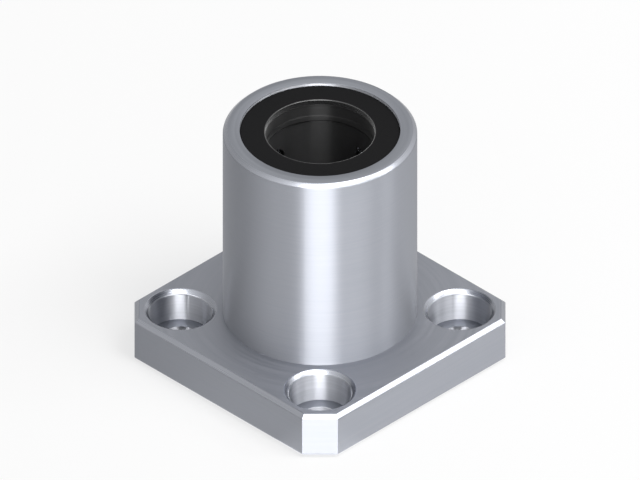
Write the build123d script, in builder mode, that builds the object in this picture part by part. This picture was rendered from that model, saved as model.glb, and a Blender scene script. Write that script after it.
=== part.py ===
from build123d import *

import os
from math import atan2, cos, degrees, floor, radians, sin

# Square flange linear bearing, sizes in millimetres.
# The shaft's axis is Z and the flange's mounting face lies on z = 0, with the body standing above it.

# Shaft and balls
shaft_radius = 6.5
ball_radius = 1.0
circuit_count = 4
turn_ball_count = 3  # balls in each half turn
turn_ball_gap = 0.05  # free space between neighbouring balls in a turn
turn_rise = 12.0  # degrees by which each half turn leans away from the shaft

# Running clearances
race_clearance = 0.03  # loaded ball to race
retainer_race_gap = 0.1  # retainer to race
retainer_shaft_gap = 0.2  # retainer to shaft
track_clearance = 0.06  # ball to retainer track
channel_clearance = 0.07  # return ball to its channel in the sleeve
turn_headroom = 0.17  # return ball to end bore; the balls swing wider in the turns

# Sleeve and flange
overall_length = 32.0
end_wall = 2.0  # ring of steel around each end bore
body_edge_chamfer = 0.5
flange_ledge = 5.5  # reach of the flange past the body, at the middle of a side
flange_thickness = 6.0
flange_edge_chamfer = 0.5
land_shortfall = 0.5  # the race ends this far before the turns
land_lead = 0.25  # lead-in chamfer of the race

# Screw holes
screw_hole_radius = 2.25
screw_head_shoulder = 1.5  # counterbore radius beyond the hole's
screw_head_gap = 1.25  # counterbore to body
screw_corner_margin = 5.42  # screw hole's axis to the flat across its corner
screw_seat_thickness = 1.9  # flange left under the screw head
counterbore_edge_chamfer = 0.5

# Retainer
return_wall_cover = 0.1  # retainer wall above the centres of the return balls
retainer_end_wall = 0.8  # least wall beyond the turns
retainer_edge_chamfer = 0.2
window_lip = 0.25  # overlap of each window lip with a loaded ball

# Seals
seal_recess = 0.3
seal_thickness = 2.2
seal_collar_wall = 0.9
seal_collar_end_gap = 0.05  # collar to retainer
seal_lip_length = 0.7
seal_lip_relief = 0.08
seal_edge_chamfer = 0.1

# Retaining rings and their grooves
ring_thickness = 0.8
ring_side_clearance = 0.05
ring_rim_clearance = 0.05
ring_collar_gap = 0.2  # ring to seal collar
ring_groove_depth = 0.4
ring_opening = 4.0  # distance between the two ends of a ring
ring_corner_fillet = 0.3

# Radii, from the shaft outwards
loaded_row_radius = shaft_radius + ball_radius
race_radius = shaft_radius + 2 * ball_radius + race_clearance
retainer_bore_radius = shaft_radius + retainer_shaft_gap
retainer_radius = race_radius - retainer_race_gap
return_row_radius = retainer_radius - return_wall_cover
track_radius = ball_radius + track_clearance
channel_radius = ball_radius + channel_clearance
end_bore_radius = return_row_radius + ball_radius + turn_headroom
body_radius = end_bore_radius + end_wall
groove_radius = end_bore_radius + ring_groove_depth
flange_width = 2 * (body_radius + flange_ledge)
counterbore_radius = screw_hole_radius + screw_head_shoulder
screw_circle_radius = body_radius + screw_head_gap + counterbore_radius
screw_spacing = 2**0.5 * screw_circle_radius
flange_corner_chamfer = flange_width - 2**0.5 * (screw_circle_radius + screw_corner_margin)

# Heights, counted up and down from the middle of the body, which both ends mirror
half_length = overall_length / 2
seal_face_height = half_length - seal_recess
seal_back_height = seal_face_height - seal_thickness
retainer_half_length = seal_back_height - ring_thickness - 2 * ring_side_clearance

# One ball circuit: a loaded row at angle 0, a return row beside it, and a half turn at each end.
# Balls in a turn are 180 / turn_ball_count degrees apart on the turn's circle.
turn_step = 180 / turn_ball_count
turn_radius = (ball_radius + turn_ball_gap / 2) / sin(radians(turn_step / 2))
ball_pitch = turn_radius * radians(turn_step)
row_spacing = 2 * turn_radius
turn_height = turn_radius * cos(radians(turn_rise)) + track_radius
row_room = 2 * (retainer_half_length - retainer_end_wall - turn_height)
row_ball_count = floor(row_room / ball_pitch)
row_length = row_ball_count * ball_pitch
land_half_length = row_length / 2 - land_shortfall

# The return row lies row_spacing away from the loaded row, at its own radius from the axis.
across_x = (return_row_radius**2 - loaded_row_radius**2 - row_spacing**2) / (2 * row_spacing * loaded_row_radius)
across = Vector(across_x, (1 - across_x**2) ** 0.5, 0)
outward = Vector(across.Y, -across.X, 0)
loaded_foot = Vector(loaded_row_radius, 0, 0)
return_foot = loaded_foot + across * row_spacing
return_row_angle = degrees(atan2(return_foot.Y, return_foot.X))

# The upper turn's circle bulges up and outwards; its plane opens away from the shaft.
bulge = Vector(0, 0, 1) * cos(radians(turn_rise)) + outward * sin(radians(turn_rise))
turn_centre = loaded_foot + across * turn_radius + Vector(0, 0, row_length / 2)
turn_plane = Plane(origin=turn_centre, x_dir=across, z_dir=across.cross(bulge))

middle = Plane.XY.offset(half_length)
axial_plane = Plane(origin=(0, 0, half_length), x_dir=(1, 0, 0), z_dir=(0, -1, 0))
circuit_angles = [circuit * 360 / circuit_count for circuit in range(circuit_count)]
circuit_frames = [Location((0, 0, half_length), (0, 0, angle)) for angle in circuit_angles]


def turn_ball_centre(angle):
    """Centre of a ball that has gone this many degrees round the upper turn from the loaded row."""
    along = across * (-turn_radius * cos(radians(angle)))
    return turn_centre + along + bulge * (turn_radius * sin(radians(angle)))


def sleeve_with_flange():
    """Outer cylinder and flange: one piece of steel, with the races ground into its bore."""
    with BuildPart() as sleeve:
        with BuildSketch():
            outline = Rectangle(flange_width, flange_width)
            chamfer(outline.vertices(), length=flange_corner_chamfer)
        extrude(amount=flange_thickness)
        chamfer(sleeve.faces().filter_by(Axis.Z).edges(), length=flange_edge_chamfer)
        with Locations(Plane.XY.offset(flange_thickness)):
            with GridLocations(screw_spacing, screw_spacing, 2, 2):
                CounterBoreHole(screw_hole_radius, counterbore_radius, flange_thickness - screw_seat_thickness)
        counterbore_rims = sleeve.edges().filter_by(GeomType.CIRCLE).group_by(Axis.Z)[-1]
        chamfer(counterbore_rims, length=counterbore_edge_chamfer)

        with BuildSketch():
            Circle(body_radius)
        extrude(amount=overall_length)
        body_rim = sleeve.edges().filter_by(GeomType.CIRCLE).group_by(Axis.Z)[-1]
        chamfer(body_rim, length=body_edge_chamfer)

        with BuildSketch(axial_plane):
            with BuildLine():
                Polyline(
                    (0, 0),
                    (race_radius, 0),
                    (race_radius, land_half_length - land_lead),
                    (race_radius + land_lead, land_half_length),
                    (end_bore_radius, land_half_length),
                    (end_bore_radius, retainer_half_length),
                    (groove_radius, retainer_half_length),
                    (groove_radius, seal_back_height),
                    (end_bore_radius, seal_back_height),
                    (end_bore_radius, half_length),
                    (0, half_length),
                    close=True,
                )
            make_face()
            mirror(about=Plane.XZ)
        revolve(axis=Axis.Z, mode=Mode.SUBTRACT)

        with BuildSketch(middle):
            with PolarLocations(return_row_radius, circuit_count, start_angle=return_row_angle):
                Circle(channel_radius)
        extrude(amount=land_half_length, both=True, mode=Mode.SUBTRACT)
    return sleeve.part


def ball_track():
    """Space that one circuit takes from the retainer: round under the balls, open to the outside."""
    reach = 2 * (retainer_radius - retainer_bore_radius)
    with BuildPart() as track:
        for foot in (loaded_foot, return_foot):
            with BuildSketch(Plane(origin=foot, x_dir=outward, z_dir=(0, 0, 1))):
                Circle(track_radius)
                Rectangle(reach, 2 * track_radius, align=(Align.MIN, Align.CENTER))
            extrude(amount=row_length / 2)
        with Locations(turn_plane):
            Torus(turn_radius, track_radius, major_angle=180, align=Align.NONE)
        with BuildSketch(turn_plane):
            Circle(turn_radius + track_radius)
            Circle(turn_radius - track_radius, mode=Mode.SUBTRACT)
            Rectangle(
                4 * turn_radius,
                2 * turn_radius,
                align=(Align.CENTER, Align.MAX),
                mode=Mode.SUBTRACT,
            )
        extrude(amount=reach)
        with Locations(turn_ball_centre(0), turn_ball_centre(180)):
            Sphere(track_radius)
        mirror(about=Plane.XY)

        window_width = 2 * (ball_radius - window_lip)
        with BuildSketch(Plane.YZ):
            SlotOverall(row_length + 2 * ball_radius, window_width, rotation=90)
        extrude(amount=loaded_row_radius)
    return track.part


def retainer():
    """Moulded cage: a plain tube with a racetrack cut into its outside for each circuit."""
    track = ball_track()
    with BuildPart() as cage:
        with BuildSketch(middle):
            Circle(retainer_radius)
            Circle(retainer_bore_radius, mode=Mode.SUBTRACT)
        extrude(amount=retainer_half_length, both=True)
        chamfer(cage.edges().filter_by(GeomType.CIRCLE), length=retainer_edge_chamfer)
        with Locations(*circuit_frames):
            add(track, mode=Mode.SUBTRACT)
    return cage.part


def seal():
    """Upper seal: a disc pressed into the end bore, with a collar that carries two lips on the shaft."""
    collar_radius = shaft_radius + seal_collar_wall
    collar_end = retainer_half_length + seal_collar_end_gap
    relief_radius = shaft_radius + seal_lip_relief
    with BuildPart() as disc:
        with BuildSketch(axial_plane):
            with BuildLine():
                Polyline(
                    (shaft_radius, seal_face_height),
                    (end_bore_radius - seal_edge_chamfer, seal_face_height),
                    (end_bore_radius, seal_face_height - seal_edge_chamfer),
                    (end_bore_radius, seal_back_height),
                    (collar_radius, seal_back_height),
                    (collar_radius, collar_end),
                    (shaft_radius, collar_end),
                    (shaft_radius, collar_end + seal_lip_length),
                    (relief_radius, collar_end + seal_lip_length + seal_lip_relief),
                    (relief_radius, seal_face_height - seal_lip_length - seal_lip_relief),
                    (shaft_radius, seal_face_height - seal_lip_length),
                    close=True,
                )
            make_face()
        revolve(axis=Axis.Z)
    return disc.part


def retaining_ring():
    """Upper retaining ring: an open flat ring of spring steel in the groove under the seal."""
    inner_radius = shaft_radius + seal_collar_wall + ring_collar_gap
    outer_radius = groove_radius - ring_rim_clearance
    with BuildPart() as ring:
        with BuildSketch(middle.offset(retainer_half_length + ring_side_clearance)) as outline:
            Circle(outer_radius)
            Circle(inner_radius, mode=Mode.SUBTRACT)
            Rectangle(
                outer_radius,
                ring_opening,
                align=(Align.MIN, Align.CENTER),
                mode=Mode.SUBTRACT,
            )
            fillet(outline.vertices(), radius=ring_corner_fillet)
        extrude(amount=ring_thickness)
    return ring.part


def balls(frame, centres):
    """A group of separate balls, at these centres in a circuit's own frame."""
    with BuildPart() as group:
        with Locations(frame):
            with Locations(*centres):
                Sphere(ball_radius)
    return group.part


def write_part(part, name):
    part.label = name
    export_step(part, f"parts/{name}.step")
    print(name, round(part.volume, 3))


def other_end(part):
    """The same piece at the flange end, which mirrors the upper end."""
    return part.mirror(middle)


os.makedirs("parts", exist_ok=True)

write_part(sleeve_with_flange(), "flanged_sleeve")
write_part(retainer(), "ball_retainer")
write_part(seal(), "upper_seal")
write_part(other_end(seal()), "lower_seal")
write_part(retaining_ring(), "upper_retaining_ring")
write_part(other_end(retaining_ring()), "lower_retaining_ring")

row_heights = [(ball - (row_ball_count - 1) / 2) * ball_pitch for ball in range(row_ball_count)]
upper_turn = [turn_ball_centre((ball + 0.5) * turn_step) for ball in range(turn_ball_count)]
lower_turn = [Vector(centre.X, centre.Y, -centre.Z) for centre in upper_turn]
for number, frame in enumerate(circuit_frames, start=1):
    circuit = f"circuit_{number}"
    loaded_row = [loaded_foot + Vector(0, 0, height) for height in row_heights]
    return_row = [return_foot + Vector(0, 0, height) for height in row_heights]
    write_part(balls(frame, loaded_row), f"{circuit}_loaded_balls")
    write_part(balls(frame, return_row), f"{circuit}_return_balls")
    write_part(balls(frame, upper_turn), f"{circuit}_upper_turn_balls")
    write_part(balls(frame, lower_turn), f"{circuit}_lower_turn_balls")
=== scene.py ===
# %% [markdown]
# This bearing carries something along a round shaft. Rows of small balls roll between the shaft
# and a hardened steel sleeve, and a square flange at the sleeve's foot is screwed to whatever is
# carried. The solids come ready made and in place, in metres. This script gives each surface its
# finish, builds the sleeve and the seals again with the softened edges of real parts, and sets up
# the floor, the lights and the camera.

from math import acos, asin, cos, pi, radians, sin, sqrt

import bmesh
import bpy
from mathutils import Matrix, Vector


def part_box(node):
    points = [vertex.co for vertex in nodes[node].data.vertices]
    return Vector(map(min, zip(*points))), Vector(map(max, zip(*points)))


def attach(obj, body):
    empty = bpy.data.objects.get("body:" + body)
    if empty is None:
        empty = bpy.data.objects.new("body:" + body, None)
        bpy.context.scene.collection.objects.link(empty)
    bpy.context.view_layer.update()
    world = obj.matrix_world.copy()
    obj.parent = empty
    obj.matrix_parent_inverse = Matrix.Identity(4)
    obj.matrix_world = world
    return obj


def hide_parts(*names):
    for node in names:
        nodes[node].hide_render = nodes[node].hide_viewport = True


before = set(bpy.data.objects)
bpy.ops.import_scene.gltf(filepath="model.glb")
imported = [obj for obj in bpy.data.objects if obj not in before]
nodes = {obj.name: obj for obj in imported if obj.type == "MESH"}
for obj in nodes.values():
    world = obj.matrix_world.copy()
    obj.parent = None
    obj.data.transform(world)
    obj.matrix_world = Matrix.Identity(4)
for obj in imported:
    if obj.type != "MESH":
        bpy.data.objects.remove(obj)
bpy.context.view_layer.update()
scene = bpy.context.scene

# %% [markdown]
# The outer sizes are read from the solids, so that the new meshes reach exactly as far as the old
# ones. What a box can't tell, such as the body's radius and the place of the screw holes, is
# written here or beside the surface that needs it.

# %% Sizes
MM = 0.001

_, sleeve_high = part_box("flanged_sleeve")
seal_low, seal_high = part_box("upper_seal")
_, ring_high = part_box("upper_retaining_ring")

body_radius = 11.5 * MM
screw_circle_radius = 16.5 * MM
screw_offset = screw_circle_radius / sqrt(2)
end_bore_radius = seal_high.x
flange_reach = sleeve_high.x
overall_length = sleeve_high.z
middle = overall_length / 2
print("body radius:", body_radius, "end bore radius:", end_bore_radius, "flange reach:", flange_reach)

# %% [markdown]
# The camera is orthographic, as in a drawing: parallel edges stay parallel, and a millimetre is
# as long at the back as at the front. It stands on the diagonal, so that a corner of the flange
# points at it, and it looks down at the angle at which the three axes look equally long. The
# picture is 640 pixels wide and the body, 23 mm across, fills 194.6 of them, which gives the
# width that the camera takes in.

# %% Camera
FRAME_WIDTH_PX = 640
BODY_WIDTH_PX = 194.6
CAMERA_AZIMUTH = radians(45)
CAMERA_ELEVATION = asin(1 / sqrt(3))
CAMERA_DISTANCE = 0.4
NEAR_LIMIT = 0.01
FAR_LIMIT = 10


def direction(azimuth, elevation):
    """Unit vector from the bearing; azimuth 0 is towards -Y and a quarter turn is towards +X."""
    return Vector((sin(azimuth) * cos(elevation), -cos(azimuth) * cos(elevation), sin(elevation)))


aim = Vector((0, 0, middle))
camera = bpy.data.objects.new("camera", bpy.data.cameras.new("camera"))
scene.collection.objects.link(camera)
camera.data.type = "ORTHO"
camera.data.ortho_scale = 2 * body_radius * FRAME_WIDTH_PX / BODY_WIDTH_PX
camera.data.clip_start = NEAR_LIMIT
camera.data.clip_end = FAR_LIMIT
camera.location = aim + direction(CAMERA_AZIMUTH, CAMERA_ELEVATION) * CAMERA_DISTANCE
camera.rotation_euler = (aim - camera.location).to_track_quat("-Z", "Y").to_euler()
scene.camera = camera
scene.view_settings.view_transform = "Standard"
print("camera takes in", round(camera.data.ortho_scale / MM, 2), "mm")

# %% [markdown]
# Materials are built from nodes. Colours are written as they look on a screen, as hex codes, and
# one function turns them into the linear values that a shader works with. Another adds a node,
# sets it up and links it. The rest cover what nearly every finish here needs: arithmetic on
# values and on vectors, a value moved into a new range, a colour between two shades, and a new
# material.

# %% Colour and node helpers


def linear(code):
    """A hex colour as linear red, green, blue and alpha, by the standard sRGB formula."""
    shades = [int(code[place : place + 2], 16) / 255 for place in (1, 3, 5)]
    return (*(s / 12.92 if s <= 0.04045 else ((s + 0.055) / 1.055) ** 2.4 for s in shades), 1)


def add_node(tree, kind, inputs=None, **settings):
    """Adds a node. An input may be a value or another node's output."""
    added = tree.nodes.new(kind)
    for name, value in settings.items():
        setattr(added, name, value)
    for socket, value in (inputs or {}).items():
        if isinstance(value, bpy.types.NodeSocket):
            tree.links.new(value, added.inputs[socket])
        else:
            added.inputs[socket].default_value = value
    return added


def calculate(tree, operation, first, second):
    return add_node(tree, "ShaderNodeMath", {0: first, 1: second}, operation=operation).outputs[0]


def rescale(tree, value, old, new, shape="LINEAR"):
    """Moves a value from the range old to the range new, and stops at its ends."""
    limits = {"From Min": old[0], "From Max": old[1], "To Min": new[0], "To Max": new[1]}
    inputs = {"Value": value, **limits}
    return add_node(tree, "ShaderNodeMapRange", inputs, interpolation_type=shape).outputs[0]


def shade_between(tree, factor, colours):
    shades = {"Factor": factor, "A": linear(colours[0]), "B": linear(colours[1])}
    return add_node(tree, "ShaderNodeMix", shades, data_type="RGBA").outputs["Result"]


def vector_math(tree, operation, first, second=None):
    inputs = {0: first} if second is None else {0: first, 1: second}
    return add_node(tree, "ShaderNodeVectorMath", inputs, operation=operation)


def new_material(name):
    """An empty material and its node tree."""
    material = bpy.data.materials.new(name)
    material.use_nodes = True
    material.node_tree.nodes.clear()
    return material, material.node_tree


print("A mid grey, #808080, is", round(linear("#808080")[0], 3), "in linear light.")

# %% [markdown]
# The floor and everything behind it is plain white. A white floor that is only lit comes out grey
# where the light is weak, so most of its white is its own glow, seen by the camera and by
# reflections, and the rest is a lit white surface, which keeps the bearing's soft shadow.
#
# Seen from above, an upright steel wall mirrors the floor in front of it, so the floor also
# shapes the body. To reflections its glow is painted brighter towards one side, and brighter
# still in a narrow band that points at the camera, where a reflector board would lie, which
# adds to the streak down the middle of the body.

# %% Floor
FLOOR_SIZE = 4
FLOOR_DROP = 0.02 * MM
FLOOR_GLOW = 0.66
BRIGHT_SIDE_AZIMUTH = radians(30)
SURROUNDINGS = (0.74, 1.46)
SURROUNDINGS_EDGES = (-0.72, 0.32)
# Edges and level of a painted glowing band on the floor, towards the camera.
PAINTED_GLOW_INNER = radians(14)
PAINTED_GLOW_OUTER = radians(18)
PAINTED_GLOW_LEVEL = 1.1

bright_side = direction(CAMERA_AZIMUTH + BRIGHT_SIDE_AZIMUTH, 0)


def background_rays(tree):
    """1 for rays from the camera, a reflection or glass, 0 for light that surfaces scatter."""
    path = add_node(tree, "ShaderNodeLightPath").outputs
    seen = calculate(tree, "MAXIMUM", path["Is Camera Ray"], path["Is Glossy Ray"])
    return calculate(tree, "MAXIMUM", seen, path["Is Transmission Ray"])


def surroundings(tree, outwards):
    """How bright reflections find the studio in this direction from the bearing."""
    sideways = vector_math(tree, "DOT_PRODUCT", outwards, bright_side).outputs["Value"]
    return rescale(tree, sideways, SURROUNDINGS_EDGES, SURROUNDINGS, "SMOOTHSTEP")


def floor_in_reflections(tree):
    """How bright the floor glows in the steel: a painted slope, and a painted glowing band ahead."""
    place = add_node(tree, "ShaderNodeNewGeometry").outputs["Position"]
    outwards = vector_math(tree, "NORMALIZE", place).outputs[0]
    # Painted glow on the floor, seen only in reflections: brighter towards one side, and brightest in
    # a narrow band towards the camera.
    slope = surroundings(tree, outwards)
    ahead = vector_math(tree, "DOT_PRODUCT", outwards, direction(CAMERA_AZIMUTH, 0)).outputs["Value"]
    glow_band_edges = (cos(PAINTED_GLOW_OUTER), cos(PAINTED_GLOW_INNER))
    glow_band = rescale(tree, ahead, glow_band_edges, (0.0, PAINTED_GLOW_LEVEL), "SMOOTHSTEP")
    return calculate(tree, "ADD", slope, glow_band)


def white_paper():
    """Seamless background paper."""
    material, tree = new_material("white_paper")
    lit = add_node(tree, "ShaderNodeBsdfDiffuse", {"Color": linear("#F4F4F4"), "Roughness": 1.0})
    seen_directly = add_node(tree, "ShaderNodeLightPath").outputs["Is Camera Ray"]
    levels = {"Factor": seen_directly, "A": floor_in_reflections(tree), "B": 1.0}
    level = add_node(tree, "ShaderNodeMix", levels).outputs["Result"]
    glow = add_node(tree, "ShaderNodeEmission", {"Color": linear("#FFFFFF"), "Strength": level})
    share = calculate(tree, "MULTIPLY", background_rays(tree), FLOOR_GLOW)
    mixed = add_node(tree, "ShaderNodeMixShader", {0: share, 1: lit.outputs[0], 2: glow.outputs[0]})
    add_node(tree, "ShaderNodeOutputMaterial", {"Surface": mixed.outputs[0]})
    return material


floor_mesh = bpy.data.meshes.new("floor")
half_floor = FLOOR_SIZE / 2
signs = ((-1, -1), (1, -1), (1, 1), (-1, 1))
corners = [(x * half_floor, y * half_floor, -FLOOR_DROP) for x, y in signs]
floor_mesh.from_pydata(corners, [], [(0, 1, 2, 3)])
floor_mesh.materials.append(white_paper())
floor = bpy.data.objects.new("floor", floor_mesh)
scene.collection.objects.link(floor)
print("floor:", FLOOR_SIZE, "m across")

# %% [markdown]
# Steel shows its surroundings more than itself, so the light is arranged by what each face
# mirrors. A tall narrow softbox beside the camera draws the bright upright streak on the body. It
# is only so bright that, in the camera's view, the flats that face it stay just under full white
# and keep their edges before the white paper. A second one to the right lights the chamfers that
# lean that way, and a third one, high up, gives the soft shadow. The walls of the studio are
# brighter towards the right and a little darker towards the left, which shapes the round body.

# %% Lights
LAMP_DISTANCE = 0.6
WORLD_LEVEL = 0.55


def softbox(name, azimuth, elevation, width, height, radiance):
    """A rectangular lamp that faces the bearing; azimuth is in degrees right of the camera."""
    data = bpy.data.lights.new(name, "AREA")
    data.shape = "RECTANGLE"
    data.size = width
    data.size_y = height
    data.energy = radiance * pi * width * height
    lamp = bpy.data.objects.new(name, data)
    towards = direction(CAMERA_AZIMUTH + radians(azimuth), radians(elevation))
    lamp.location = aim + towards * LAMP_DISTANCE
    lamp.rotation_euler = (aim - lamp.location).to_track_quat("-Z", "Y").to_euler()
    lamp.visible_camera = False
    scene.collection.objects.link(lamp)
    return lamp


strip = softbox("strip_softbox", azimuth=0, elevation=30, width=0.34, height=0.7, radiance=6.2)
strip.visible_diffuse = False
softbox("right_softbox", azimuth=86, elevation=37, width=0.16, height=0.16, radiance=5.0)
softbox("key_softbox", azimuth=56, elevation=60, width=0.3, height=0.3, radiance=6.5)

world = bpy.data.worlds.new("studio")
scene.world = world
world.use_nodes = True
tree = world.node_tree
tree.nodes.clear()
ray = add_node(tree, "ShaderNodeTexCoord").outputs["Generated"]
walls = surroundings(tree, ray)
levels = {"Factor": background_rays(tree), "A": WORLD_LEVEL, "B": walls}
level = add_node(tree, "ShaderNodeMix", levels).outputs["Result"]
glow = add_node(tree, "ShaderNodeBackground", {"Color": linear("#FFFFFF"), "Strength": level})
add_node(tree, "ShaderNodeOutputWorld", {"Surface": glow.outputs[0]})

# %% [markdown]
# All of the sleeve is one bearing steel, and its finishes differ by how each surface was cut.
# Every cutting or grinding tool leaves fine lines along its path. A noise that changes quickly
# across the path and slowly along it draws them: it varies the colour and the roughness a little
# and gives a shallow relief. Real grinding lines are about 0.03 mm apart, four to a pixel here,
# so they are drawn about 0.25 mm apart, as groups of lines.
#
# What runs quickly differs from face to face: the height on walls that were ground round, the
# distance from the axis on faces that were turned, and both together in the screw holes, where
# the drill cut walls and floors.

# %% Tool lines
NOISE_RANGE = (0.3, 0.7)
NOISE_ROUGHNESS = 0.6
LINE_DETAIL = 2.0


def object_place(tree):
    return add_node(tree, "ShaderNodeTexCoord").outputs["Object"]


def height_above_floor(tree):
    return add_node(tree, "ShaderNodeSeparateXYZ", {0: object_place(tree)}).outputs["Z"]


def level_length(tree, place):
    """Length of a vector without its height."""
    flat = vector_math(tree, "MULTIPLY", place, (1, 1, 0)).outputs[0]
    return vector_math(tree, "LENGTH", flat).outputs["Value"]


def distance_from_axis(tree):
    return level_length(tree, object_place(tree))


def distance_along_drilled_wall(tree):
    """Height in a screw hole plus distance from its axis. Folding makes one hole do for all four."""
    folded = vector_math(tree, "ABSOLUTE", object_place(tree)).outputs[0]
    from_hole = vector_math(tree, "SUBTRACT", folded, (screw_offset, screw_offset, 0)).outputs[0]
    return calculate(tree, "ADD", height_above_floor(tree), level_length(tree, from_hole))


def tool_lines(tree, across, spacing, length):
    """Lines between 0 and 1; across is the distance across them, the sizes are in millimetres."""
    slow = add_node(
        tree,
        "ShaderNodeVectorMath",
        {0: object_place(tree), "Scale": 1 / (length * MM)},
        operation="SCALE",
    )
    quick = calculate(tree, "MULTIPLY", across, 1 / (spacing * MM))
    shift = add_node(tree, "ShaderNodeCombineXYZ", {"Z": quick}).outputs[0]
    where = vector_math(tree, "ADD", slow.outputs[0], shift).outputs[0]
    noise = {"Vector": where, "Scale": 1.0, "Detail": LINE_DETAIL, "Roughness": NOISE_ROUGHNESS}
    lines = add_node(tree, "ShaderNodeTexNoise", noise).outputs["Fac"]
    return rescale(tree, lines, NOISE_RANGE, (0.0, 1.0))


print("A noise seldom leaves", NOISE_RANGE, "so that range is stretched to 0 and 1.")

# %% [markdown]
# Fine lines spread a reflection across themselves. The shader's anisotropy does this: on an
# upright wall it stretches highlights upwards and downwards, so that a lamp in front draws one
# upright streak. UPRIGHT is the quarter turn that lays the spread along the shaft. Flat faces,
# where the lines run round the axis, and the small chamfers keep a round highlight.
#
# Each finish is the same bearing steel with its own lines, roughness and spread. The faces cut at
# the end and under the screw heads are a little lighter than the ground body. The drilled holes
# and the bore are the brightest: drilled steel is bright, and their colour is painted lighter
# still, to make up for the shade that falls inside them.
#
# Seen at a slant, the grooves of a face that was cut flat shade each other, and it mirrors less
# than polished steel would. On a metal, Specular Tint colours only what is mirrored at a slant. A
# dark tint says this, and keeps the flats grey from behind, where they mirror the tall softbox at
# a low angle.

# %% Machined steel
ROUGHNESS_SPREAD = 0.03
UPRIGHT = 0.25
STRETCHED = 1.0
ROUND = 0.0
SATIN = ("#979AA1", "#9D9FA6")
FACED = ("#999CA3", "#A0A3AA")
# Steel of the holes and the bore: bright drilled steel, with painted light against the shade inside
# them.
HOLE_STEEL_WITH_PAINTED_LIGHT = ("#B3B5BB", "#BFC1C7")
FULL_SLANT = "#FFFFFF"
SHADED_SLANT = "#58554F"


def round_tangent(tree):
    """The direction round the shaft, from which anisotropy counts."""
    return add_node(tree, "ShaderNodeTangent", direction_type="RADIAL", axis="Z").outputs[0]


def machined_steel(
    name, colours, across_of, spacing, length, depth, roughness, spread, slant=FULL_SLANT
):
    """Bearing steel, cut or ground in lines; spacing, length and depth are in millimetres."""
    material, tree = new_material(name)
    lines = tool_lines(tree, across_of(tree), spacing, length)
    gloss_range = (roughness - ROUGHNESS_SPREAD, roughness + ROUGHNESS_SPREAD)
    gloss = rescale(tree, lines, (0.0, 1.0), gloss_range)
    bump = {"Height": lines, "Strength": 1.0, "Distance": depth * MM}
    relief = add_node(tree, "ShaderNodeBump", bump)
    steel = add_node(
        tree,
        "ShaderNodeBsdfPrincipled",
        {
            "Base Color": shade_between(tree, lines, colours),
            "Metallic": 1.0,
            "Specular Tint": linear(slant),
            "Roughness": gloss,
            "Normal": relief.outputs["Normal"],
            "Anisotropic": spread,
            "Anisotropic Rotation": UPRIGHT,
            "Tangent": round_tangent(tree),
        },
    )
    add_node(tree, "ShaderNodeOutputMaterial", {"Surface": steel.outputs[0]})
    print("finish:", name)
    return material


FINISHES = {
    "ground": machined_steel(
        "finely_ground_steel",
        SATIN,
        height_above_floor,
        spacing=0.25,
        length=10,
        depth=0.0015,
        roughness=0.48,
        spread=STRETCHED,
    ),
    "turned": machined_steel(
        "turned_steel",
        FACED,
        distance_from_axis,
        spacing=0.35,
        length=15,
        depth=0.0015,
        roughness=0.4,
        spread=ROUND,
        slant=SHADED_SLANT,
    ),
    "shoulder": machined_steel(
        "turned_shoulder_steel",
        SATIN,
        distance_from_axis,
        spacing=0.35,
        length=15,
        depth=0.001,
        roughness=0.55,
        spread=ROUND,
        slant=SHADED_SLANT,
    ),
    "milled": machined_steel(
        "milled_steel",
        SATIN,
        height_above_floor,
        spacing=0.35,
        length=20,
        depth=0.0015,
        roughness=0.48,
        spread=STRETCHED,
    ),
    "chamfered": machined_steel(
        "chamfered_steel",
        SATIN,
        height_above_floor,
        spacing=0.2,
        length=15,
        depth=0.0008,
        roughness=0.28,
        spread=ROUND,
    ),
    # Its colour carries painted light that makes up for the shade inside the holes and the bore.
    "drilled": machined_steel(
        "drilled_steel_with_painted_light",
        HOLE_STEEL_WITH_PAINTED_LIGHT,
        distance_along_drilled_wall,
        spacing=0.3,
        length=15,
        depth=0.0015,
        roughness=0.5,
        spread=STRETCHED,
    ),
    "seat": machined_steel(
        "spot_faced_steel",
        FACED,
        distance_along_drilled_wall,
        spacing=0.3,
        length=15,
        depth=0.0015,
        roughness=0.4,
        spread=ROUND,
        slant=SHADED_SLANT,
    ),
}

# %% [markdown]
# The sleeve is one piece of steel: a tube with a square foot. It is built here from closed loops
# of points, each joined to the next by a band of faces, the way a lathe or a cutter would follow
# the outline. A machined edge is never perfectly sharp: it is broken with a file or a brush, so
# each outer corner of an outline is replaced by a few points on a small arc, and that tiny arc is
# what catches the light along every edge.

# %% Outlines and loops
EDGE_BREAK = 0.07 * MM
EDGE_STEPS = 2


def soften(outline, cut, steps):
    """Rounds an outline's corners. A point is (across, height, finish, sharp); sharp ones stay."""
    rounded = []
    for place, (across, height, finish, sharp) in enumerate(outline):
        if sharp or place in (0, len(outline) - 1):
            rounded.append((across, height, finish))
            continue
        corner = Vector((across, height))
        before = (Vector(outline[place - 1][:2]) - corner).normalized() * cut
        after = (Vector(outline[place + 1][:2]) - corner).normalized() * cut
        for step in range(steps + 1):
            share = step / steps
            point = corner + before * (1 - share) ** 2 + after * share**2
            rounded.append((point.x, point.y, finish))
    return rounded


def circle(centre, radius, height, count):
    """Points on a level circle."""
    angles = [2 * pi * step / count for step in range(count)]
    x, y = centre
    return [Vector((x + radius * cos(a), y + radius * sin(a), height)) for a in angles]


def join_loops(mesh, first, second, finish):
    """A band of four-sided faces between two loops with as many points."""
    for step in range(len(first)):
        following = (step + 1) % len(first)
        face = mesh.faces.new((first[step], first[following], second[following], second[step]))
        face.material_index = finish


def sweep(mesh, rows, finishes):
    """Joins rows of (points, finish of the band that ends here); returns the first and last loop."""
    loops = [([mesh.verts.new(point) for point in points], finish) for points, finish in rows]
    for (before, _), (after, finish) in zip(loops, loops[1:]):
        join_loops(mesh, before, after, list(finishes).index(finish))
    return loops[0][0], loops[-1][0]


print("edges are broken by", EDGE_BREAK / MM, "mm")

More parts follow.
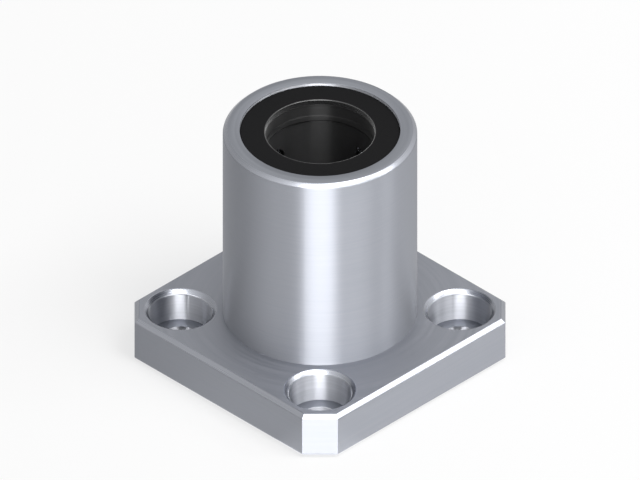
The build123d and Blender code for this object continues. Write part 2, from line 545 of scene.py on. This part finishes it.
# %% [markdown]
# A finished mesh becomes a piece in one place. Its curves are shaded smooth, and weighted normals
# let each large flat keep its own direction, so that only the arc at the edge bends the light.
# The piece then rides on the bearing's body and stands in for the solid that it follows.

# %% Finished pieces
SHARP_ANGLE = radians(40)
FLAT_WEIGHT = 100


def finished_piece(mesh, name, finishes, node):
    bmesh.ops.recalc_face_normals(mesh, faces=mesh.faces)
    data = bpy.data.meshes.new(name)
    mesh.to_mesh(data)
    mesh.free()
    for material in finishes.values():
        data.materials.append(material)
    data.shade_smooth()
    data.set_sharp_from_angle(angle=SHARP_ANGLE)
    piece = bpy.data.objects.new(name, data)
    scene.collection.objects.link(piece)
    even = piece.modifiers.new("flats_stay_flat", "WEIGHTED_NORMAL")
    even.keep_sharp = True
    even.weight = FLAT_WEIGHT
    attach(piece, "bearing_body")
    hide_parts(node)
    print(name, "with", len(data.polygons), "faces stands for", node)


# %% [markdown]
# Inside, the sleeve has a land with the ground race on which the loaded balls roll, and four
# return channels cut along it, through which the balls run back. A loop round the shaft is a
# plain circle, except where a channel cuts deeper: there it follows the channel's own circle. Its
# corners lie exactly where the two circles cross.

# %% Loops round the shaft
RACE_RADIUS = 8.53 * MM
CHANNEL_RADIUS = 1.07 * MM
CHANNEL_CIRCLE = 8.33 * MM
CHANNEL_ANGLE = radians(29.43)
QUARTER = radians(90)
CHANNEL_STEPS = 16
QUARTER_STEPS = 60


def channel_half_angle(radius):
    """Angle from a return channel's middle to its edge, on a wall of this radius, or 0."""
    crossing = (radius**2 + CHANNEL_CIRCLE**2 - CHANNEL_RADIUS**2) / (2 * radius * CHANNEL_CIRCLE)
    return acos(crossing) if crossing < 1 else 0


def round_loop(radius, height):
    """A loop round the shaft, with a corner wherever a return channel starts."""
    cut = channel_half_angle(radius) if radius < CHANNEL_CIRCLE + CHANNEL_RADIUS else 0
    half = cut or channel_half_angle(RACE_RADIUS)
    wall_steps = QUARTER_STEPS - CHANNEL_STEPS
    turns = [half * (2 * step / CHANNEL_STEPS - 1) for step in range(CHANNEL_STEPS)]
    turns += [half + (QUARTER - 2 * half) * step / wall_steps for step in range(wall_steps)]
    points = []
    for quarter in range(4):
        for turn in turns:
            reach = radius
            if abs(turn) < cut:
                aside = CHANNEL_CIRCLE * sin(turn)
                reach = CHANNEL_CIRCLE * cos(turn) + sqrt(CHANNEL_RADIUS**2 - aside**2)
            angle = CHANNEL_ANGLE + QUARTER * quarter + turn
            points.append(Vector((reach * cos(angle), reach * sin(angle), height)))
    return points


channel_opening = 2 * channel_half_angle(RACE_RADIUS) * RACE_RADIUS
print("A return channel opens", round(channel_opening / MM, 2), "mm of the race.")

# %% [markdown]
# The flange is a square with its four corners cut off, which makes eight flats in turn. Its
# outline is drawn at any distance inside its own edge, so that the same function gives the full
# size and the rims of the chamfers.

# %% Flange outline
CORNER_FLAT_REACH = 21.92 * MM
FLAT_TURN = radians(45)


def flange_outline(inset, height):
    """The flange's loop, this far inside its own edge, with its upright corners broken."""
    reaches = [reach - inset - EDGE_BREAK for reach in (flange_reach, CORNER_FLAT_REACH)]
    points = []
    for side in range(8):
        here = reaches[side % 2]
        along = (reaches[(side + 1) % 2] - here * cos(FLAT_TURN)) / sin(FLAT_TURN)
        turn = FLAT_TURN * side
        centre = direction(turn + QUARTER, 0) * here + direction(turn + 2 * QUARTER, 0) * along
        for step in range(EDGE_STEPS + 1):
            angle = turn + FLAT_TURN * step / EDGE_STEPS
            points.append(centre + direction(angle + QUARTER, 0) * EDGE_BREAK + Vector((0, 0, height)))
    return points


print("flange outline:", len(flange_outline(0, 0)), "points")

# %% [markdown]
# Three outlines make the sleeve. One goes up the flange's side, one goes up the body, over the
# end and down through the bore with its two ring grooves and its land, and one goes up through
# each counterbored screw hole. The two flats that are left, the flange's top and the mounting
# face, are filled between the rims.

# %% Sleeve
FLANGE_THICKNESS = 6.0 * MM
CHAMFER = 0.5 * MM
RING_GROOVE_RADIUS = 9.9 * MM
RING_GROOVE_LOW = 28.6 * MM
RING_GROOVE_HIGH = 29.5 * MM
HALF_LAND = 8.087 * MM
LAND_LEAD = 0.25 * MM
SCREW_HOLE_RADIUS = 2.25 * MM
COUNTERBORE_RADIUS = 3.75 * MM
SCREW_SEAT_THICKNESS = 1.9 * MM
SCREW_STEPS = 72


def flange_side():
    rim = CHAMFER + EDGE_BREAK
    outline = [
        (rim, 0, "turned", True),
        (CHAMFER, 0, "turned", False),
        (0, CHAMFER, "chamfered", False),
        (0, FLANGE_THICKNESS - CHAMFER, "milled", False),
        (CHAMFER, FLANGE_THICKNESS, "chamfered", False),
        (rim, FLANGE_THICKNESS, "shoulder", True),
    ]
    rows = soften(outline, EDGE_BREAK, EDGE_STEPS)
    return [(flange_outline(inset, height), finish) for inset, height, finish in rows]


def body_and_bore():
    land_top = middle + HALF_LAND
    upper_half = [
        (end_bore_radius, RING_GROOVE_HIGH, "drilled", True),
        (RING_GROOVE_RADIUS, RING_GROOVE_HIGH, "drilled", True),
        (RING_GROOVE_RADIUS, RING_GROOVE_LOW, "drilled", True),
        (end_bore_radius, RING_GROOVE_LOW, "drilled", True),
        (end_bore_radius, land_top, "drilled", True),
        (RACE_RADIUS + LAND_LEAD, land_top, "drilled", True),
        (RACE_RADIUS, land_top - LAND_LEAD, "ground", True),
    ]
    lower_half = [
        (radius, overall_length - height, finish, sharp)
        for radius, height, finish, sharp in upper_half[::-1]
    ]
    outline = [
        (body_radius, FLANGE_THICKNESS, "ground", True),
        (body_radius, overall_length - CHAMFER, "ground", False),
        (body_radius - CHAMFER, overall_length, "chamfered", False),
        (end_bore_radius, overall_length, "turned", False),
        *upper_half,
        *lower_half,
        (end_bore_radius, 0, "drilled", False),
        (end_bore_radius + EDGE_BREAK, 0, "turned", True),
    ]
    rows = soften(outline, EDGE_BREAK, EDGE_STEPS)
    return [(round_loop(radius, height), finish) for radius, height, finish in rows]


def screw_hole(centre):
    mouth = COUNTERBORE_RADIUS + CHAMFER
    outline = [
        (SCREW_HOLE_RADIUS + EDGE_BREAK, 0, "drilled", True),
        (SCREW_HOLE_RADIUS, 0, "drilled", False),
        (SCREW_HOLE_RADIUS, SCREW_SEAT_THICKNESS, "drilled", False),
        (COUNTERBORE_RADIUS, SCREW_SEAT_THICKNESS, "seat", True),
        (COUNTERBORE_RADIUS, FLANGE_THICKNESS - CHAMFER, "drilled", False),
        (mouth, FLANGE_THICKNESS, "chamfered", False),
        (mouth + EDGE_BREAK, FLANGE_THICKNESS, "shoulder", True),
    ]
    rows = soften(outline, EDGE_BREAK, EDGE_STEPS)
    return [(circle(centre, radius, height, SCREW_STEPS), finish) for radius, height, finish in rows]


def fill_between(mesh, rims, finish):
    """Closes a flat that has one outer rim and several holes."""
    edges = []
    for rim in rims:
        edges += [mesh.edges.get((rim[step - 1], rim[step])) for step in range(len(rim))]
    filled = bmesh.ops.triangle_fill(mesh, use_beauty=True, edges=edges, normal=(0, 0, 1))
    for part in filled["geom"]:
        if isinstance(part, bmesh.types.BMFace):
            part.material_index = list(FINISHES).index(finish)


def dress_sleeve():
    mesh = bmesh.new()
    flange_foot, flange_shoulder = sweep(mesh, flange_side(), FINISHES)
    body_foot, bore_foot = sweep(mesh, body_and_bore(), FINISHES)
    foot_rims = [flange_foot, bore_foot]
    shoulder_rims = [flange_shoulder, body_foot]
    for x, y in ((1, 1), (-1, 1), (-1, -1), (1, -1)):
        foot, shoulder = sweep(mesh, screw_hole((x * screw_offset, y * screw_offset)), FINISHES)
        foot_rims.append(foot)
        shoulder_rims.append(shoulder)
    fill_between(mesh, foot_rims, "turned")
    fill_between(mesh, shoulder_rims, "shoulder")
    finished_piece(mesh, "dressed_sleeve", FINISHES, "flanged_sleeve")


dress_sleeve()

# %% [markdown]
# The seals are nitrile rubber and the cage is a hard black resin, both moulded in a steel die.
# Both are nearly black, so what tells them apart is gloss: rubber scatters what little light it
# returns, and the resin shines. A fine grain keeps them from looking like paint. Inside the bore,
# the finish runs upright like the ground steel's, which draws a faint streak there too, and a
# trace of bloom lightens the walls seen at a slant.

# %% Rubber and resin
GRAIN_DEPTH = 0.004
GRAIN_DETAIL = 3.0
BLOOM_ROUGHNESS = 0.4
RUBBER_IOR = 1.5
RUBBER_GRAIN = 0.25
RUBBER_BLACK = ("#131314", "#1B1B1C")
RESIN_BLACK = ("#1B1B1C", "#242426")


def grain(tree, size):
    """Even noise in lumps of this many millimetres."""
    noise = {
        "Vector": object_place(tree),
        "Scale": 1 / (size * MM),
        "Detail": GRAIN_DETAIL,
        "Roughness": NOISE_ROUGHNESS,
    }
    return add_node(tree, "ShaderNodeTexNoise", noise).outputs["Fac"]


def moulded(name, colours, grain_size, ior, roughness, shine, spread, bloom):
    """A black moulding. Shine scales its reflection, and bloom is the pale haze on its surface."""
    material, tree = new_material(name)
    lumps = grain(tree, grain_size)
    bump = {"Height": lumps, "Strength": 1.0, "Distance": GRAIN_DEPTH * MM}
    relief = add_node(tree, "ShaderNodeBump", bump)
    plastic = add_node(
        tree,
        "ShaderNodeBsdfPrincipled",
        {
            "Base Color": shade_between(tree, lumps, colours),
            "Roughness": roughness,
            "IOR": ior,
            "Specular IOR Level": shine,
            "Sheen Weight": bloom,
            "Sheen Roughness": BLOOM_ROUGHNESS,
            "Normal": relief.outputs["Normal"],
            "Anisotropic": spread,
            "Anisotropic Rotation": UPRIGHT,
            "Tangent": round_tangent(tree),
        },
    )
    add_node(tree, "ShaderNodeOutputMaterial", {"Surface": plastic.outputs[0]})
    print("finish:", name)
    return material


def nitrile_rubber(name, roughness, shine, spread, bloom):
    return moulded(name, RUBBER_BLACK, RUBBER_GRAIN, RUBBER_IOR, roughness, shine, spread, bloom)


SEAL_FINISHES = {
    "face": nitrile_rubber(
        "moulded_nitrile_rubber", roughness=0.6, shine=0.05, spread=ROUND, bloom=0.0
    ),
    "lip": nitrile_rubber(
        "trimmed_nitrile_rubber", roughness=0.42, shine=0.3, spread=STRETCHED, bloom=0.25
    ),
    "rim": nitrile_rubber(
        "rubbed_nitrile_rubber", roughness=0.25, shine=1.0, spread=ROUND, bloom=1.0
    ),
}
cage_resin = moulded(
    "moulded_acetal",
    RESIN_BLACK,
    grain_size=0.6,
    ior=1.48,
    roughness=0.43,
    shine=0.3,
    spread=STRETCHED,
    bloom=0.25,
)

# %% [markdown]
# Two more steels are left. The balls are lapped until they mirror what is round them, with only a
# breath of haze. The retaining rings are spring steel, hardened in oil, which leaves a dark
# blue-grey scale in clouds.

# %% Balls and rings


def clouded_steel(name, colours, cloud_size, roughness):
    """Steel whose colour and gloss drift in clouds of this many millimetres; roughness is a range."""
    material, tree = new_material(name)
    clouds = rescale(tree, grain(tree, cloud_size), NOISE_RANGE, (0.0, 1.0))
    gloss = rescale(tree, clouds, (0.0, 1.0), roughness)
    look = {"Base Color": shade_between(tree, clouds, colours), "Metallic": 1.0, "Roughness": gloss}
    steel = add_node(tree, "ShaderNodeBsdfPrincipled", look)
    add_node(tree, "ShaderNodeOutputMaterial", {"Surface": steel.outputs[0]})
    print("finish:", name)
    return material


lapped_steel = clouded_steel(
    "lapped_ball_steel", ("#B9BBC0", "#BEC0C5"), cloud_size=0.5, roughness=(0.07, 0.13)
)
spring_steel = clouded_steel(
    "oil_hardened_spring_steel", ("#3E4047", "#4B4E58"), cloud_size=1.5, roughness=(0.3, 0.42)
)

# %% [markdown]
# Every solid came with the name of its material, so one table dresses them all. The solids keep
# their own meshes; only what fills their slots changes.

# %% Finishes for the solids
FINISH_OF_SLOT = {
    "ground_steel": FINISHES["ground"],
    "seal_rubber": SEAL_FINISHES["face"],
    "cage_resin": cage_resin,
    "ball_steel": lapped_steel,
    "spring_steel": spring_steel,
}
for node in nodes.values():
    for place in node.material_slots:
        place.material = FINISH_OF_SLOT[place.material.name]
print("dressed solids:", len(nodes))

# %% [markdown]
# A seal is a disc, pressed into the end of the sleeve, with a short collar that touches the shaft
# with two lips and holds grease in the shallow hollow between them. Rubber leaves its mould with
# rounded edges. The edge round the bore is rubbed smooth by the shaft each time one is pushed in,
# so it shines as a fine pale line.

# %% Seals
SHAFT_RADIUS = 6.5 * MM
SEAL_COLLAR_RADIUS = 7.4 * MM
LIP_LENGTH = 0.7 * MM
LIP_RELIEF = 0.08 * MM
SEAL_EDGE = 0.1 * MM
SEAL_SOFTNESS = 0.1 * MM
SEAL_EDGE_STEPS = 3
RING_SIDE_CLEARANCE = 0.05 * MM
SAME_POINT = 0.0001 * MM


def seal_outline():
    face = seal_high.z
    back = ring_high.z + RING_SIDE_CLEARANCE
    collar_end = seal_low.z
    hollow = SHAFT_RADIUS + LIP_RELIEF
    return [
        (SHAFT_RADIUS, collar_end + LIP_LENGTH / 2, "lip", True),
        (SHAFT_RADIUS, collar_end + LIP_LENGTH, "lip", False),
        (hollow, collar_end + LIP_LENGTH + LIP_RELIEF, "lip", False),
        (hollow, face - LIP_LENGTH - LIP_RELIEF, "lip", False),
        (SHAFT_RADIUS, face - LIP_LENGTH, "lip", False),
        (SHAFT_RADIUS, face, "rim", False),
        (end_bore_radius - SEAL_EDGE, face, "face", False),
        (end_bore_radius, face - SEAL_EDGE, "face", False),
        (end_bore_radius, back, "face", False),
        (SEAL_COLLAR_RADIUS, back, "face", False),
        (SEAL_COLLAR_RADIUS, collar_end, "face", False),
        (SHAFT_RADIUS, collar_end, "face", False),
        (SHAFT_RADIUS, collar_end + LIP_LENGTH / 2, "lip", True),
    ]


def dress_seal(name, node, flipped):
    """One seal; the lower one is the upper one upside down."""
    rows = []
    for radius, height, finish in soften(seal_outline(), SEAL_SOFTNESS, SEAL_EDGE_STEPS):
        level = overall_length - height if flipped else height
        rows.append((circle((0, 0), radius, level, 4 * QUARTER_STEPS), finish))
    mesh = bmesh.new()
    sweep(mesh, rows, SEAL_FINISHES)
    bmesh.ops.remove_doubles(mesh, verts=mesh.verts, dist=SAME_POINT)
    finished_piece(mesh, name, SEAL_FINISHES, node)


dress_seal("dressed_upper_seal", "upper_seal", False)
dress_seal("dressed_lower_seal", "lower_seal", True)
